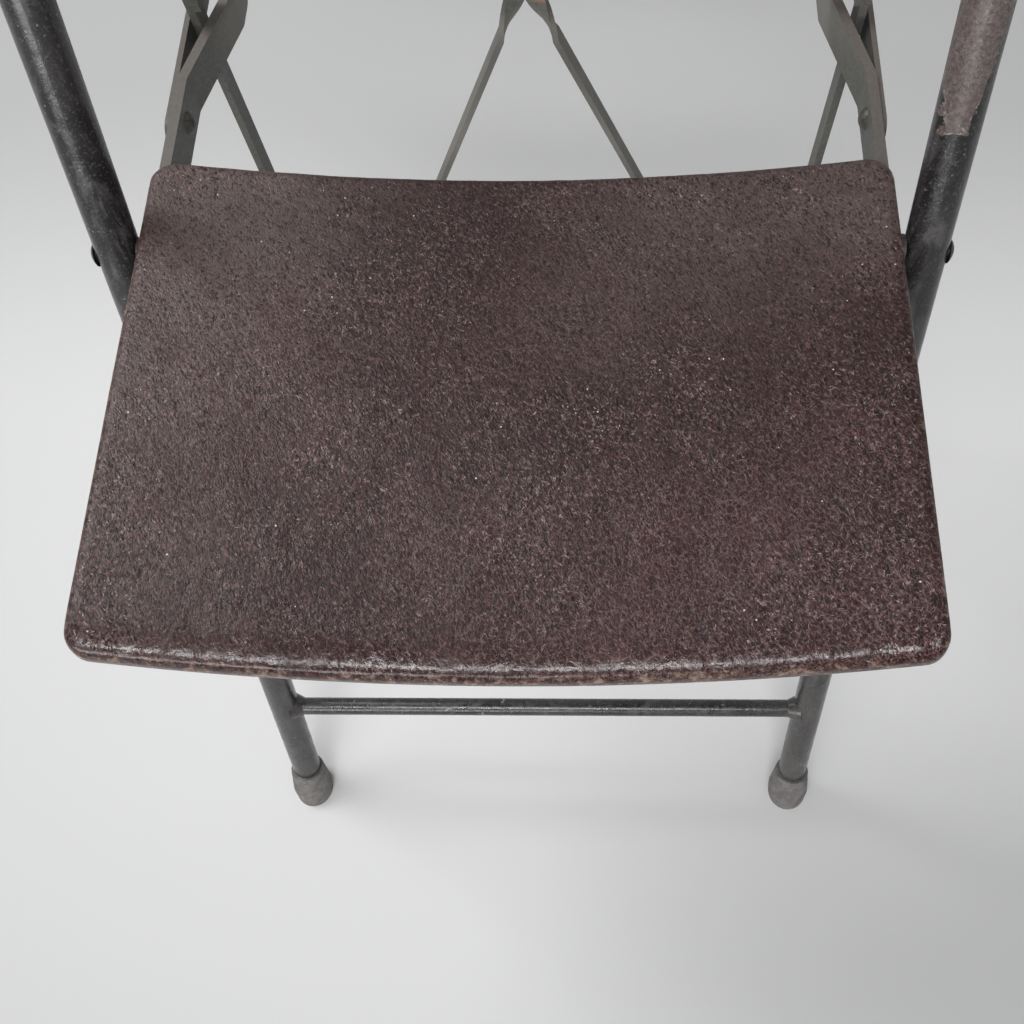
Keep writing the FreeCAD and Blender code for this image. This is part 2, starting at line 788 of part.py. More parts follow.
def seat_straps():
    thick = D["strap_thickness"]
    for name, place in (("front", -front_strap_place), ("rear", rear_strap_place)):
        body = new_body(f"seat_strap_{name}_body", SEAT)
        section = sketch_on(body, "XZ_Plane", (NONE, NONE, -place))
        half = rail_inside
        inner = half - thick
        low_radius = dish_radius + thick
        top = dish_centre - root(dish_radius * dish_radius - half * half)
        under = dish_centre - root(low_radius * low_radius - inner * inner)
        tab = top - D["strap_tab"]
        draw_outline(
            section,
            (
                (-half, top, dish_radius, 1),
                (half, top),
                (half, tab),
                (inner, tab),
                (inner, under, low_radius, -1),
                (-inner, under),
                (-inner, tab),
                (-half, tab),
            ),
        )
        pad(body, section, D["strap_width"], both_ways=True)
        for tab_face in (-half, half):
            hole = (place, rail_middle, D["screw_radius"])
            drill(body, "YZ_Plane", (hole,), (NONE, NONE, tab_face), thick * 3)
        sides = (-D["board_screw_place"], D["board_screw_place"])
        drill(body, "XY_Plane", [(side, place, D["screw_radius"]) for side in sides])
        keep(f"seat_strap_{name}", body)
    stem = (D["screw_radius"], rail_inside - thick, rail_outside)
    keep_pair(
        "strap_rivets",
        *(
            rivet(f"strap_rivet_{name}", SEAT, stem, SMALL_HEAD, FLUSH_HEAD, place, rail_middle)
            for name, place in (("front", -front_strap_place), ("rear", rear_strap_place))
        ),
    )
    screws = []
    for name, place in (("front", -front_strap_place), ("rear", rear_strap_place)):
        body = new_body(f"board_screw_{name}", SEAT)
        side = D["board_screw_place"]
        profile = sketch_on(body, "XZ_Plane", (side, NONE, -place))
        low_radius = dish_radius + thick
        near = side - D["rivet_head_radius"]
        seat_level = dish_centre - root(low_radius * low_radius - near * near)
        draw_outline(
            profile,
            (
                (NONE, seat_level - D["rivet_head_height"], dome(*SMALL_HEAD), 1),
                (D["rivet_head_radius"], seat_level),
                (D["screw_radius"], seat_level),
                (D["screw_radius"], -board_screw_tip),
                (NONE, -board_screw_tip),
            ),
        )
        revolve(body, profile, "V_Axis")
        screws.append(body)
    keep_pair("board_screws", *screws)


# Pivots of the seat


def seat_pivots():
    frame = Frame(D["seat_pivot_rise"], -D["tube_lean_angle"])
    stem = (D["pivot_radius"], rail_inside - D["side_clearance"], tube_place + tube_radius)
    keep_pair(
        "seat_pivot_rivets",
        rivet("seat_pivot_rivet", frame, stem, SMALL_HEAD, PIVOT_HEAD),
    )
    washer = new_body("seat_pivot_washer", frame)
    ring = sketch_on(washer, "YZ_Plane", (NONE, NONE, rail_outside + D["side_clearance"]))
    draw_circles(ring, ((NONE, NONE, D["washer_radius"]), (NONE, NONE, D["pivot_radius"])))
    pad(washer, ring, D["rail_clearance"] - D["side_clearance"])
    keep_pair("seat_pivot_washers", washer)


# Rear frame: legs, crossbar, braces and their pivots


def down_leg(height):
    """Distance below the rear frame's pivot at which its legs stand at a height over the floor."""
    return -(pivot_height - height) / cosine(D["leg_lean_angle"])


def rear_legs():
    body = new_body("rear_leg_body", REAR)
    side = sketch_on(body, "YZ_Plane", (NONE, NONE, leg_inside))
    foot = D["boot_floor"] - leg_reach
    draw_outline(side, ((-leg_half, foot), (leg_half, foot), (leg_half, heel), (-leg_half, heel)))
    pad(body, side, D["leg_thickness"])
    drill(
        body,
        "YZ_Plane",
        (
            (NONE, NONE, pivot_hole),
            (NONE, down_leg(crossbar_height), D["screw_radius"]),
            (NONE, down_leg(D["brace_foot_height"]), D["screw_radius"]),
        ),
    )
    keep_both("rear_leg", body)


def rear_crossbar():
    body = new_body("rear_crossbar_body", REAR)
    bottom = down_leg(crossbar_height) - D["crossbar_width"] / 2
    plan = sketch_on(body, "XY_Plane", (NONE, NONE, bottom))
    front = leg_half
    back = front + D["crossbar_thickness"]
    inner = leg_inside - D["crossbar_thickness"]
    draw_outline(
        plan,
        (
            (-leg_inside, -leg_half),
            (-inner, -leg_half),
            (-inner, front),
            (inner, front),
            (inner, -leg_half),
            (leg_inside, -leg_half),
            (leg_inside, back),
            (-leg_inside, back),
        ),
    )
    pad(body, plan, D["crossbar_width"])
    rivet_height = down_leg(crossbar_height)
    drill(body, "YZ_Plane", ((NONE, rivet_height, D["screw_radius"]),))
    apex = sketch_on(body, "XZ_Plane")
    draw_circles(apex, ((NONE, down_leg(brace_apex_height), D["rivet_radius"]),))
    pocket(body, apex, D["overrun"])
    keep("rear_crossbar", body)
    stem = (D["screw_radius"], inner, leg_outside)
    keep_pair(
        "crossbar_rivets",
        rivet("crossbar_rivet", REAR, stem, SMALL_HEAD, FLUSH_HEAD, NONE, rivet_height),
    )


def brace_stations(layer):
    """Centres, run directions and width directions of a right-hand brace, from its foot to its end.

    The bar's foot lies flat on the leg and its upper end lies flat on the crossbar, so it twists by a
    quarter turn, and its end steps back to its own layer.
    """
    side = leg_inside.value - D["brace_thickness"].value / 2
    foot = down_leg(D["brace_foot_height"]).value
    apex = down_leg(brace_apex_height).value
    half_foot = D["brace_foot_length"].value / 2
    bend = Vector(side, 0, foot + half_foot)
    top = Vector(0, 0, apex)
    run = (top - bend).normalize()
    up = Vector(0, 0, 1)
    level = Vector(0, 1, 0)
    twist = D["brace_twist_length"].value
    end = D["brace_end"].value
    flat = D["brace_flat"].value
    stations = [(Vector(side, 0, foot - half_foot), up, level), (bend, (up + run).normalize(), level)]
    turn_start = top - run * (flat + twist)
    steps = 6
    for step in range(steps + 1):
        share = step / steps
        width = Rotation(run, 90 * share).multVec(level)
        stations.append((turn_start + run * (twist * share) + level * (layer * share), run, width))
    stations.append((top + run * end + level * layer, run, stations[-1][2]))
    return stations


def brace_shape(layer):
    """A flat bar lofted through its stations, with holes for its rivets."""
    half_width = D["brace_width"].value / 2
    half_thick = D["brace_thickness"].value / 2
    wires = []
    for centre, run, width in brace_stations(layer):
        across = run.cross(width).normalize()
        corners = [
            centre + width * (a * half_width) + across * (b * half_thick)
            for a, b in ((-1, -1), (1, -1), (1, 1), (-1, 1))
        ]
        wires.append(Part.makePolygon(corners + corners[:1]))
    bar = Part.makeLoft(wires, True, True)
    foot = down_leg(D["brace_foot_height"]).value
    apex = down_leg(brace_apex_height).value
    reach = D["overrun"].value
    foot_hole = Part.makeCylinder(
        D["screw_radius"].value, reach, Vector(leg_inside.value - reach / 2, 0, foot), Vector(1, 0, 0)
    )
    apex_hole = Part.makeCylinder(
        D["rivet_radius"].value, reach, Vector(0, -reach / 2, apex), Vector(0, 1, 0)
    )
    return bar.cut(foot_hole).cut(apex_hole)


def rear_braces():
    thick = D["brace_thickness"].value
    rear_layer = leg_half.value - thick / 2
    for name, layer, flip in (("left", rear_layer, True), ("right", rear_layer - thick, False)):
        shape = brace_shape(layer)
        if flip:
            shape = shape.mirror(Vector(0, 0, 0), Vector(1, 0, 0))
        brace = doc.addObject("Part::Feature", f"rear_brace_{name}")
        brace.Shape = shape
        REAR.carry(brace)
        keep(f"rear_brace_{name}", brace)
    front = leg_half - D["brace_thickness"] * 2
    back = leg_half + D["crossbar_thickness"]
    keep(
        "brace_apex_rivet",
        rivet(
            "brace_apex_rivet_body", REAR, (D["rivet_radius"], front, back), SMALL_HEAD, SMALL_HEAD,
            rise=down_leg(brace_apex_height), axis="y",
        ),
    )
    stem = (D["screw_radius"], leg_inside - D["brace_thickness"], leg_outside)
    keep_pair(
        "brace_foot_rivets",
        rivet("brace_foot_rivet", REAR, stem, SMALL_HEAD, SMALL_HEAD, NONE, down_leg(D["brace_foot_height"])),
    )


def leg_pivots():
    frame = Frame(D["leg_pivot_rise"], -D["tube_lean_angle"])
    stem = (D["pivot_radius"], leg_inside - D["side_clearance"], tube_place + tube_radius)
    keep_pair("leg_pivot_rivets", rivet("leg_pivot_rivet", frame, stem, SMALL_HEAD, PIVOT_HEAD))
    spacer = new_body("leg_pivot_spacer", frame)
    ring = sketch_on(spacer, "YZ_Plane", (NONE, NONE, leg_outside + D["side_clearance"]))
    draw_circles(ring, ((NONE, NONE, D["spacer_radius"]), (NONE, NONE, D["pivot_radius"])))
    pad(spacer, ring, tube_inside - leg_outside - D["side_clearance"])
    keep_pair("leg_pivot_spacers", spacer)
    lug = new_body("leg_stop_lug", TUBES)
    plan = sketch_on(lug, "XY_Plane", (NONE, NONE, D["leg_pivot_rise"] + heel - D["lug_length"] / 2))
    near, far = lug_reach, tube_place
    rear = -tube_radius
    front = rear - D["lug_thickness"]
    draw_outline(plan, ((near, front), (far, front), (far, rear), (near, rear)))
    pad(lug, plan, D["lug_length"])
    keep_pair("leg_stop_lugs", lug)


# Backrest


def back_strip(name, near_radius, far_radius, half_width, low, length):
    """A strip bent to the backrest's curve, between two radii about the curve's centre."""
    body = new_body(name, TUBES)
    plan = sketch_on(body, "XY_Plane", (NONE, NONE, low))
    near = back_centre + root(near_radius * near_radius - half_width * half_width)
    far = back_centre + root(far_radius * far_radius - half_width * half_width)
    draw_outline(
        plan,
        (
            (-half_width, near, near_radius, -1),
            (half_width, near),
            (half_width, far, far_radius, 1),
            (-half_width, far),
        ),
    )
    pad(body, plan, length)
    return body


def back_panel(name, inset, near_radius, far_radius):
    """The curved panel inside the backrest's outline, drawn in by an inset."""
    reach = D["overrun"]
    height = back_high - back_low
    strip = back_strip(
        f"{name}_strip", near_radius, far_radius, tube_place, back_low - reach, height + reach * 2
    )
    outline = new_body(f"{name}_outline", TUBES)
    side = back_half_width - inset
    low = back_low + inset
    high = back_high - inset
    face = sketch_on(outline, "XZ_Plane")
    draw_outline(face, ((-side, low), (side, low), (side, high), (-side, high)))
    pad(outline, face, reach * 2, both_ways=True)

    def through(edge):
        return abs(edge.tangentAt(edge.FirstParameter).y) > 0.9

    round_edges(outline, D["back_corner"] - inset, through)
    panel = doc.addObject("Part::Common", f"{name}_form")
    panel.Base = strip
    panel.Tool = outline
    return panel


def backrest():
    front = D["back_curve_radius"]
    for name, rise in (("lower", low_strap_rise), ("upper", high_strap_rise)):
        low = rise - D["back_strap_width"] / 2
        strap = back_strip(
            f"backrest_strap_{name}_body", front, back_rear_radius, back_strap_reach, low,
            D["back_strap_width"],
        )
        holes = [
            (side, rise, D["screw_radius"])
            for side in (-tube_place, -D["back_screw_place"], D["back_screw_place"], tube_place)
        ]
        drill(strap, "XZ_Plane", holes)
        keep(f"backrest_strap_{name}", strap)
    board_form = back_panel("backrest_board", board_inset, front - board_thickness, front)
    holes = [
        (side, rise, D["screw_radius"])
        for side in (-D["back_screw_place"], D["back_screw_place"])
        for rise in (low_strap_rise, high_strap_rise)
    ]
    screws = new_body("back_screw_holes", TUBES)
    marks = sketch_on(screws, "XZ_Plane")
    draw_circles(marks, holes)
    pad(screws, marks, D["overrun"], both_ways=True)
    board = doc.addObject("Part::Cut", "backrest_board_drilled")
    board.Base = board_form
    board.Tool = screws
    keep("backrest_board", board)
    outer = back_panel("backrest_cover", NONE, front - D["back_thickness"], front)
    keep("backrest_cover", soft_cover("backrest_cover", outer, board_form, BACK_THROUGH))


def backrest_screws():
    thick = D["strap_thickness"]
    tube_screws, board_screws = [], []
    for name, rise in (("low", low_strap_rise), ("high", high_strap_rise)):
        front = D["back_curve_radius"]
        outer = tube_place + D["rivet_head_radius"]
        face = back_centre + root(front * front - outer * outer)
        tube_screws.append(
            rivet(
                f"tube_screw_{name}", TUBES, (D["screw_radius"], face, -(tube_radius / 2)), SMALL_HEAD,
                None, rise=rise, axis="y", side=tube_place,
            )
        )
        side = D["back_screw_place"]
        inner = side - D["rivet_head_radius"]
        back = back_centre + root(back_rear_radius * back_rear_radius - inner * inner)
        tip = back_centre + root(front * front - side * side) - board_thickness / 2
        board_screws.append(
            rivet(
                f"back_screw_{name}", TUBES, (D["screw_radius"], tip, back), None, SMALL_HEAD,
                rise=rise, axis="y", side=side,
            )
        )
    keep_pair("backrest_tube_screws", *tube_screws)
    keep_pair("backrest_board_screws", *board_screws)


def main():
    frame_tube()
    front_stretcher()
    stretcher_welds()
    front_caps()
    rear_caps()
    seat_rails()
    fork_cheeks()
    seat_panel()
    seat_straps()
    seat_pivots()
    rear_legs()
    rear_crossbar()
    rear_braces()
    leg_pivots()
    backrest()
    backrest_screws()
    doc.recompute()
    faults = [o.Name for o in doc.Objects if "Invalid" in o.State or "Error" in o.State]
    if faults:
        raise RuntimeError(f"failed objects: {faults}")
    for name, piece in sub_parts.items():
        shape = piece.Shape
        if shape.isNull() or not shape.isValid() or not shape.Solids:
            raise RuntimeError(f"{name} has no valid shape")
        shape.exportStep(f"parts/{name}.step")
        print(f"{name}: {len(shape.Solids)} solids, {shape.Volume:.0f} mm3")


main()
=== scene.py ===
"""Looks of a worn folding chair: a black tube frame, olive flat bars and dark brown leatherette.

Everything is in metres in the chair's own frame: +Z up, -Y to the front, the origin on the floor.
"""

import json
import math

import bpy
import numpy as np
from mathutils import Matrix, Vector, noise


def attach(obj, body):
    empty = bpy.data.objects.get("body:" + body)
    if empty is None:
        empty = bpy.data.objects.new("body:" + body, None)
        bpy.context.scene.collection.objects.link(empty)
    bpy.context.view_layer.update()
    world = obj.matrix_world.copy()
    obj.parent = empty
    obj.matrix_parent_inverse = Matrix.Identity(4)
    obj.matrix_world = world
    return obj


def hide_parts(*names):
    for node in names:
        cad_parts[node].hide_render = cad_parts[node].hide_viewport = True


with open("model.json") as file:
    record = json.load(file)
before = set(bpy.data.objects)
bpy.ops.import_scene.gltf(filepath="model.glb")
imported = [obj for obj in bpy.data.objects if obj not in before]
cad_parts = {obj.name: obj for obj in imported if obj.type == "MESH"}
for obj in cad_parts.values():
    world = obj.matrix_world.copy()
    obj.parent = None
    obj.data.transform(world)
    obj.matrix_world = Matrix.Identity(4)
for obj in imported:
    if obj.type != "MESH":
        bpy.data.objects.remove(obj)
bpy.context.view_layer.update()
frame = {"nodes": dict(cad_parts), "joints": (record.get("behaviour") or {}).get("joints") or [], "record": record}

MM = 0.001
TUBE_LEAN = math.radians(21)
SEAT_TILT = math.radians(2)
PIVOTS = {joint["name"]: Vector(joint["pos_m"]) for joint in frame["joints"]}
SEAT_PIVOT = PIVOTS["seat_fold"]
TUBE_FOOT = SEAT_PIVOT - Vector((0, math.sin(TUBE_LEAN), math.cos(TUBE_LEAN))) * (
    SEAT_PIVOT.z / math.cos(TUBE_LEAN)
)


# Colours, as linear red, green and blue

LEATHER = {
    "dark": (0.020, 0.0062, 0.0066),
    "warm": (0.029, 0.0108, 0.0104),
    "patch": (0.045, 0.0170, 0.0145),
    "dust": (0.085, 0.062, 0.057),
    # Painted shade: the colour of the grain's hollows, as if in shadow.
    "hollow_shade": (0.0045, 0.0014, 0.0018),
    # Painted highlight: the colour of the grain's raised folds, as if catching the light.
    "fold": (0.092, 0.056, 0.051),
    # Painted highlight: small pale glints on thin ridges of the grain.
    "glint": (0.270, 0.205, 0.190),
    "crack": (0.145, 0.098, 0.089),
    "speck": (0.46, 0.41, 0.37),
    "rubbed": (0.095, 0.050, 0.036),
    "bare": (0.255, 0.185, 0.145),
}
BLACK = {
    "deep": (0.0060, 0.0060, 0.0058),
    "hazy": (0.022, 0.0200, 0.0205),
    "scuff": (0.062, 0.056, 0.058),
    "grit": (0.095, 0.090, 0.092),
    "bare_dark": (0.046, 0.034, 0.031),
    "bare_pale": (0.118, 0.092, 0.086),
    "bare_scratch": (0.22, 0.19, 0.18),
    "bare_brown": (0.070, 0.040, 0.037),
    "lip": (0.22, 0.19, 0.175),
    "dust": (0.105, 0.097, 0.090),
    "pit": (0.17, 0.165, 0.16),
    "chip": (0.32, 0.30, 0.28),
}
OLIVE = {
    "dark": (0.062, 0.063, 0.055),
    "pale": (0.078, 0.077, 0.067),
    "grit": (0.118, 0.108, 0.094),
    "pore": (0.030, 0.029, 0.026),
    # Upward faces: partly the brownish tone of the top edges, partly painted light from above.
    "top": (0.100, 0.080, 0.070),
    "brown": (0.078, 0.058, 0.046),
    # Painted light: a pale beige for the bars inboard of the rails, below the seat, as if lit.
    "inner": (0.150, 0.141, 0.124),
    "spot": (0.030, 0.026, 0.022),
    "rust": (0.225, 0.105, 0.078),
}
RUBBER = {
    "dark": (0.105, 0.098, 0.094),
    "pale": (0.185, 0.176, 0.168),
    "scuff": (0.34, 0.32, 0.30),
    "mark": (0.055, 0.050, 0.048),
}
RIVET = {
    "dark": (0.040, 0.039, 0.034),
    "pale": (0.095, 0.090, 0.078),
    "rust": (0.175, 0.088, 0.058),
}
WOOD = {
    "dark": (0.175, 0.106, 0.058),
    "pale": (0.285, 0.190, 0.112),
    "streak": (0.105, 0.060, 0.033),
    "stain": (0.090, 0.057, 0.038),
}
FLOOR = {
    "near": (0.57, 0.57, 0.57),
    # Painted shade: the floor's colour at the back, darker where the light falls off.
    "far": (0.425, 0.425, 0.425),
    "dirt": (0.58, 0.58, 0.575),
    "speck": (0.45, 0.45, 0.44),
}
WORLD = (0.97, 0.98, 1.0)


# Materials


class Shader:
    """A node material that is written from its texture places to its surface."""

    def __init__(self, name, roughness, specular, metallic=0.0, coat=0.0, coat_roughness=0.2):
        self.material = bpy.data.materials.new(name)
        self.material.use_nodes = True
        self.nodes = self.material.node_tree.nodes
        self.links = self.material.node_tree.links
        self.surface = self.nodes["Principled BSDF"]
        self.surface.inputs["Metallic"].default_value = metallic
        self.surface.inputs["Specular IOR Level"].default_value = specular
        self.surface.inputs["Roughness"].default_value = roughness
        self.surface.inputs["Coat Weight"].default_value = coat
        self.surface.inputs["Coat Roughness"].default_value = coat_roughness
        self.place = self.nodes.new("ShaderNodeTexCoord").outputs["Object"]
        self.normal = None

    def put(self, socket, value):
        """Link a socket to another one, or set its constant."""
        if isinstance(value, bpy.types.NodeSocket):
            self.links.new(value, socket)
        elif isinstance(value, tuple) and len(value) == 3 and socket.type == "RGBA":
            socket.default_value = (*value, 1)
        else:
            socket.default_value = value

    def stretched(self, x, y, z):
        """Texture places scaled along the axes: marks grow longer where the scale is small."""
        node = self.nodes.new("ShaderNodeMapping")
        node.inputs["Scale"].default_value = (x, y, z)
        self.links.new(self.place, node.inputs["Vector"])
        return node.outputs["Vector"]

    def slanted(self, angle, stretch):
        """Texture places on which marks grow longer along a direction in the XY plane."""
        node = self.nodes.new("ShaderNodeMapping")
        node.vector_type = "TEXTURE"
        node.inputs["Scale"].default_value = (stretch, 1, 1)
        node.inputs["Rotation"].default_value = (0, 0, angle)
        self.links.new(self.place, node.inputs["Vector"])
        return node.outputs["Vector"]

    def warped(self, scale, amount):
        """Texture places pushed about by noise, so that cells lose their straight sides."""
        source = self.nodes.new("ShaderNodeTexNoise")
        self.links.new(self.place, source.inputs["Vector"])
        source.inputs["Scale"].default_value = scale
        source.inputs["Detail"].default_value = 2.0
        push = self.nodes.new("ShaderNodeVectorMath")
        push.operation = "MULTIPLY_ADD"
        self.links.new(source.outputs["Color"], push.inputs[0])
        push.inputs[1].default_value = (amount, amount, amount)
        self.links.new(self.place, push.inputs[2])
        return push.outputs["Vector"]

    def noise(self, scale, detail=3.0, rough=0.5, warp=0.0, where=None):
        """Smooth noise. Its scale counts features in a metre."""
        node = self.nodes.new("ShaderNodeTexNoise")
        self.links.new(where or self.place, node.inputs["Vector"])
        node.inputs["Scale"].default_value = scale
        node.inputs["Detail"].default_value = detail
        node.inputs["Roughness"].default_value = rough
        node.inputs["Distortion"].default_value = warp
        return node.outputs["Fac"]

    def cells(self, scale, feature="DISTANCE_TO_EDGE", where=None):
        node = self.nodes.new("ShaderNodeTexVoronoi")
        node.feature = feature
        self.links.new(where or self.place, node.inputs["Vector"])
        node.inputs["Scale"].default_value = scale
        return node.outputs["Distance"]

    def attribute(self, name):
        node = self.nodes.new("ShaderNodeAttribute")
        node.attribute_name = name
        return node.outputs["Fac"]

    def axis(self, name):
        node = self.nodes.new("ShaderNodeSeparateXYZ")
        self.links.new(self.place, node.inputs["Vector"])
        return node.outputs[name]

    def upward(self):
        """How far the surface faces up, from -1 to 1."""
        geometry = self.nodes.new("ShaderNodeNewGeometry")
        node = self.nodes.new("ShaderNodeSeparateXYZ")
        self.links.new(geometry.outputs["Normal"], node.inputs["Vector"])
        return node.outputs["Z"]

    def maths(self, operation, a, b=0.0):
        node = self.nodes.new("ShaderNodeMath")
        node.operation = operation
        self.put(node.inputs[0], a)
        self.put(node.inputs[1], b)
        return node.outputs["Value"]

    def times(self, a, b):
        return self.maths("MULTIPLY", a, b)

    def size(self, value):
        return self.maths("ABSOLUTE", value)

    def fade(self, value, low, high, to_low=0.0, to_high=1.0):
        """Goes smoothly from to_low to to_high while value goes from low to high."""
        node = self.nodes.new("ShaderNodeMapRange")
        node.interpolation_type = "SMOOTHSTEP"
        self.put(node.inputs["Value"], value)
        node.inputs["From Min"].default_value = low
        node.inputs["From Max"].default_value = high
        node.inputs["To Min"].default_value = to_low
        node.inputs["To Max"].default_value = to_high
        return node.outputs["Result"]

    def ridges(self, value, width):
        """Thin winding ridges, where a noise crosses its middle."""
        return self.fade(self.size(self.maths("SUBTRACT", value, 0.5)), 0.0, width, 1.0, 0.0)

    def near(self, centre, radius, soft):
        """1 inside a ball round centre and 0 outside, over a soft rim."""
        node = self.nodes.new("ShaderNodeVectorMath")
        node.operation = "DISTANCE"
        self.links.new(self.place, node.inputs[0])
        node.inputs[1].default_value = centre
        return self.fade(node.outputs["Value"], radius - soft, radius + soft, 1.0, 0.0)

    def mix(self, share, a, b):
        node = self.nodes.new("ShaderNodeMix")
        node.data_type = "RGBA"
        self.put(node.inputs["Factor"], share)
        self.put(node.inputs["A"], a)
        self.put(node.inputs["B"], b)
        return node.outputs["Result"]

    def bump(self, height, distance, strength):
        """A bump on top of the ones that are there already."""
        node = self.nodes.new("ShaderNodeBump")
        node.inputs["Strength"].default_value = strength
        node.inputs["Distance"].default_value = distance
        self.links.new(height, node.inputs["Height"])
        if self.normal:
            self.links.new(self.normal, node.inputs["Normal"])
        self.normal = node.outputs["Normal"]

    def done(self, color, roughness=None):
        self.put(self.surface.inputs["Base Color"], color)
        if roughness is not None:
            self.put(self.surface.inputs["Roughness"], roughness)
        if self.normal:
            self.links.new(self.normal, self.surface.inputs["Normal"])
        return self.material


RUB_LEVEL = 0.55
GRAIN_SLANT = math.radians(-62)
GRAIN_STRETCH = 1.7


def leatherette(name, dust_spots):
    """Dark brown leatherette with a wrinkled, crackled grain, dusty corners and rubbed rims. The grain's hollows
    carry painted shade, and its folds and crests carry painted highlights.
    """
    s = Shader(name, roughness=0.4, specular=0.26)
    rim = s.attribute("rim")
    roll = s.attribute("roll")
    base = s.mix(s.fade(s.noise(9, 3, 0.6, 0.4), 0.35, 0.65), LEATHER["dark"], LEATHER["warm"])
    base = s.mix(s.fade(s.noise(14, 3, 0.6), 0.48, 0.72, 0, 0.45), base, LEATHER["patch"])

    dust = 0.0
    for centre, radius, amount in dust_spots:
        dust = s.maths("MAXIMUM", dust, s.times(s.near(centre, radius, radius * 0.75), amount))
    dust = s.times(dust, s.fade(s.noise(38, 4, 0.65, 0.3), 0.3, 0.7, 0.55, 1.0))
    base = s.mix(dust, base, LEATHER["dust"])

    strength = s.fade(s.noise(17, 3, 0.6), 0.38, 0.64, 0.35, 1.0)
    slant = s.slanted(GRAIN_SLANT, GRAIN_STRETCH)
    fine = s.noise(980, 2.0, 0.5, 0.8, where=slant)
    coarse = s.noise(560, 2.0, 0.5, 1.1, where=slant)
    grain = s.maths("ADD", s.times(fine, 0.55), s.times(coarse, 0.45))
    # Painted shade: the hollows of the grain are coloured near black.
    grain_shade = s.times(s.fade(grain, 0.40, 0.50, 1.0, 0.0), s.fade(strength, 0.3, 1.0, 0.75, 1.0))
    base = s.mix(grain_shade, base, LEATHER["hollow_shade"])
    # Painted highlight: the raised folds of the grain are coloured lighter.
    fold_highlights = s.times(s.fade(grain, 0.53, 0.64), strength)
    base = s.mix(fold_highlights, base, LEATHER["fold"])
    # Painted highlight: thin ridges, here and there, are coloured pale as glints.
    glints = s.ridges(s.noise(400, 2.0, 0.5, 0.9, where=slant), 0.022)
    glints = s.times(glints, s.fade(s.noise(500, 2), 0.50, 0.60, 0.0, 1.0))
    base = s.mix(s.times(glints, strength), base, LEATHER["glint"])

    cracks = s.fade(s.cells(340, where=s.warped(160, 0.005)), 0.0, 0.09, 1.0, 0.0)
    cracks = s.times(cracks, s.fade(s.noise(7, 2, 0.5), 0.44, 0.60, 0.10, 0.55))
    cracks = s.times(cracks, s.fade(fine, 0.40, 0.60, 0.25, 0.85))
    base = s.mix(cracks, base, LEATHER["crack"])
    specks = s.fade(s.cells(170, "F1"), 0.055, 0.075, 1.0, 0.0)
    specks = s.times(specks, s.fade(s.noise(33, 1), 0.56, 0.62))
    base = s.mix(specks, base, LEATHER["speck"])

    worn = s.noise(210, 4, 0.7)
    rub = s.times(s.fade(rim, RUB_LEVEL, 1.0), s.fade(worn, 0.44, 0.60, 0.0, 0.7))
    rub_color = s.mix(s.fade(worn, 0.50, 0.68), LEATHER["rubbed"], LEATHER["bare"])
    base = s.mix(rub, base, rub_color)

    roughness = s.fade(s.noise(70, 3, 0.6), 0.3, 0.7, 0.33, 0.43)
    roughness = s.maths("SUBTRACT", roughness, s.times(roll, 0.16))
    s.bump(s.noise(120, 3, 0.6, 0.5), 0.0010, 0.5)
    gathers = s.noise(330, 2, 0.5, 0.4, where=s.stretched(1, 0.16, 0.16))
    s.bump(s.times(gathers, roll), 0.0004, 0.9)
    s.bump(s.times(grain, s.fade(roll, 0.2, 0.8, 1.0, 0.12)), 0.00060, 0.9)
    return s.done(base, roughness)


# The rubbed patch of the right tube lies between two slanting lines, from PATCH_FOOT upward.
PATCH_FOOT = 0.499
PATCH_OUTER, PATCH_OUTER_SLOPE, PATCH_OUTER_WEIGHT = 0.1842, 0.12, 4.0
PATCH_INNER, PATCH_INNER_SLOPE, PATCH_INNER_WEIGHT = 0.1725, 0.11, 5.0
PATCH_RAGGED = 0.040


def rubbed_patch(s, x, z):
    """Shares of the rubbed patch and of the lip of paint round it."""
    ragged = s.times(s.maths("SUBTRACT", s.noise(85, 4, 0.65, 0.6), 0.5), PATCH_RAGGED)
    above = s.maths("SUBTRACT", z, PATCH_FOOT)
    outer = s.maths("ADD", s.times(above, PATCH_OUTER_SLOPE), PATCH_OUTER)
    beside = s.times(s.maths("SUBTRACT", outer, x), PATCH_OUTER_WEIGHT)
    inside = s.maths("SUBTRACT", x, PATCH_INNER)
    inside = s.maths("ADD", inside, s.times(above, PATCH_INNER_SLOPE))
    inside = s.times(inside, PATCH_INNER_WEIGHT)
    depth = s.maths("MINIMUM", above, s.maths("MINIMUM", beside, inside))
    depth = s.maths("ADD", depth, ragged)
    lip = s.ridges(s.maths("ADD", depth, 0.4992), 0.0022)
    lip = s.times(lip, s.fade(s.noise(300, 3, 0.6), 0.45, 0.6))
    patch = s.times(s.fade(depth, -0.0010, 0.0012), s.fade(x, 0.05, 0.10))
    patch = s.times(patch, s.fade(z, 0.66, 0.69, 1.0, 0.0))
    return patch, lip


